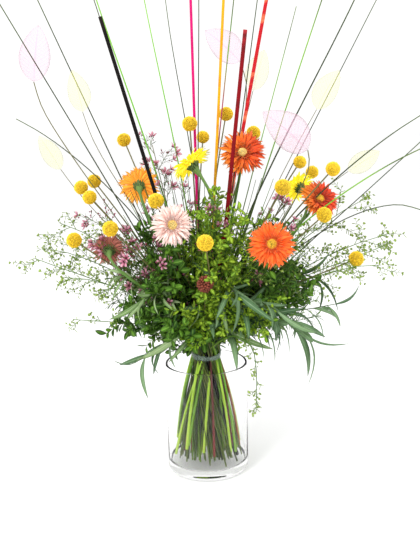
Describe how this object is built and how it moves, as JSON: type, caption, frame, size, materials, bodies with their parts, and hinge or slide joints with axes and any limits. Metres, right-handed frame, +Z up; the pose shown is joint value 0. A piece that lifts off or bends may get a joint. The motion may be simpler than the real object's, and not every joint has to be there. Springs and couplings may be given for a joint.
{
  "type": "mixed gerbera bouquet in a glass cylinder vase",
  "caption": "Spiral-tied mixed bouquet of gerberas, craspedia, dyed sticks, steel grass and greenery standing in water in a straight glass cylinder vase.",
  "frame": {"origin": "middle of the vase's flat underside", "axes": "+Z up along the vase, -Y towards the front of the bunch, +X to its right"},
  "size_m": [0.7451, 0.329, 0.9157],
  "materials": {
    "vase_glass": "clear, smooth",
    "water": "clear water",
    "tie_film": "thin translucent film",
    "stick_black": "dyed dried stick",
    "stick_magenta": "dyed dried stick",
    "stick_amber": "dyed dried stick",
    "stick_dark_red": "dyed dried stick",
    "stick_red": "dyed dried stick",
    "gerbera_green": "hairy green stem and cup",
    "orange_petals": "velvety petals, orange with lighter tips",
    "red_petals": "velvety petals, orange-red",
    "yellow_petals": "velvety petals, lemon yellow",
    "peach_petals": "velvety petals, peach with cream tips",
    "dusty_petals": "faded petals, brown-pink",
    "craspedia_yellow": "packed tiny yellow florets on a grey-green stem",
    "steel_grass": "thin stiff blade, dark olive with lime lengths",
    "skeleton_leaf": "dried leaf of veins only, pale pink",
    "pennycress_green": "round flat seed pods on thin branches",
    "eucalyptus_green": "waxy grey-green leaves",
    "bupleurum_green": "small yellow-green leaves",
    "waxflower_pink": "small pink five-petalled flowers and dark buds"
  },
  "bodies": {
    "root": {"glass_vase": "vase_glass", "water": "water", "stem_tie": "tie_film", "stick_black": "stick_black", "stick_magenta": "stick_magenta", "stick_amber": "stick_amber", "stick_dark_red": "stick_dark_red", "stick_red": "stick_red", "gerbera_orange_front_stem": "gerbera_green", "gerbera_orange_front_head": "orange_petals", "gerbera_orange_top_stem": "gerbera_green", "gerbera_orange_top_head": "orange_petals", "gerbera_red_right_stem": "gerbera_green", "gerbera_red_right_head": "red_petals", "gerbera_yellow_upper_stem": "gerbera_green", "gerbera_yellow_upper_head": "yellow_petals", "gerbera_amber_left_stem": "gerbera_green", "gerbera_amber_left_head": "orange_petals", "gerbera_peach_stem": "gerbera_green", "gerbera_peach_head": "peach_petals", "gerbera_yellow_right_stem": "gerbera_green", "gerbera_yellow_right_head": "yellow_petals", "gerbera_dusty_left_stem": "gerbera_green", "gerbera_dusty_left_head": "dusty_petals", "craspedia_1": "craspedia_yellow", "craspedia_2": "craspedia_yellow", "craspedia_3": "craspedia_yellow", "craspedia_4": "craspedia_yellow", "craspedia_5": "craspedia_yellow", "craspedia_6": "craspedia_yellow", "craspedia_7": "craspedia_yellow", "craspedia_8": "craspedia_yellow", "craspedia_9": "craspedia_yellow", "craspedia_10": "craspedia_yellow", "craspedia_11": "craspedia_yellow", "craspedia_12": "craspedia_yellow", "craspedia_13": "craspedia_yellow", "craspedia_14": "craspedia_yellow", "craspedia_15": "craspedia_yellow", "craspedia_16": "craspedia_yellow", "craspedia_17": "craspedia_yellow", "craspedia_18": "craspedia_yellow", "steel_grass_1": "steel_grass", "steel_grass_2": "steel_grass", "steel_grass_3": "steel_grass", "steel_grass_4": "steel_grass", "steel_grass_5": "steel_grass", "steel_grass_6": "steel_grass", "steel_grass_7": "steel_grass", "skeleton_leaf_1": "skeleton_leaf", "skeleton_leaf_2": "skeleton_leaf", "skeleton_leaf_3": "skeleton_leaf", "pennycress_left": "pennycress_green", "pennycress_right": "pennycress_green", "pennycress_low_left": "pennycress_green", "eucalyptus_right": "eucalyptus_green", "eucalyptus_left": "eucalyptus_green", "bupleurum": "bupleurum_green", "waxflower_left": "waxflower_pink", "waxflower_upper": "waxflower_pink"}
  },
  "joints": []
}
